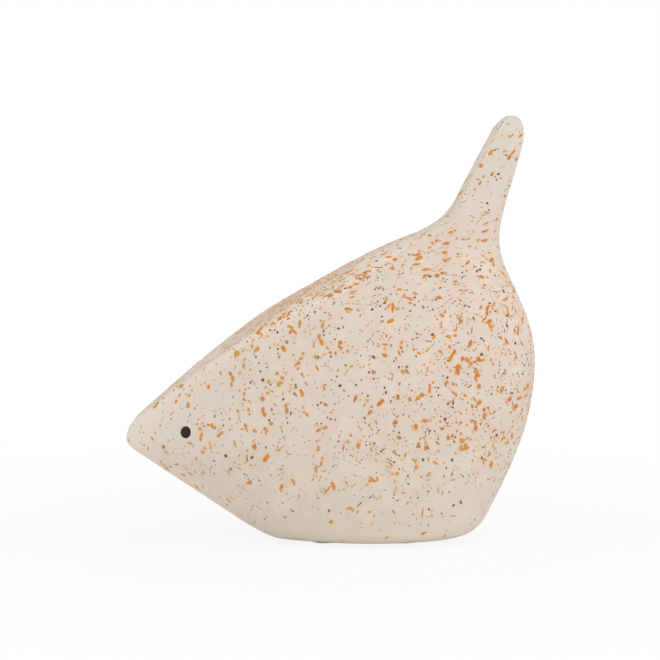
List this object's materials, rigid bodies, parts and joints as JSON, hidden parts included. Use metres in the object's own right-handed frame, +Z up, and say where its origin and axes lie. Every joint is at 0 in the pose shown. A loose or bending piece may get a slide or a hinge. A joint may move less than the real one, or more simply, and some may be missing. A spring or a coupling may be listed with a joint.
{
  "type": "bird figurine",
  "caption": "Free-standing hollow ceramic bird with a wedge-shaped head, flat back, upright finger tail, inlaid dot eyes and felt feet, in speckled cream glaze.",
  "frame": {"origin": "on the shelf, under the middle of the bird's overall box", "axes": "+Z up, -X towards the beak, -Y towards the bird's left side"},
  "size_m": [0.1154, 0.054, 0.1202],
  "materials": {
    "speckled_glaze": "satin",
    "black_clay": "satin",
    "felt": "matte"
  },
  "bodies": {
    "root": {"body_shell": "speckled_glaze", "left_eye": "black_clay", "right_eye": "black_clay", "felt_pad_front_left": "felt", "felt_pad_front_right": "felt", "felt_pad_rear_left": "felt", "felt_pad_rear_right": "felt"}
  },
  "joints": []
}
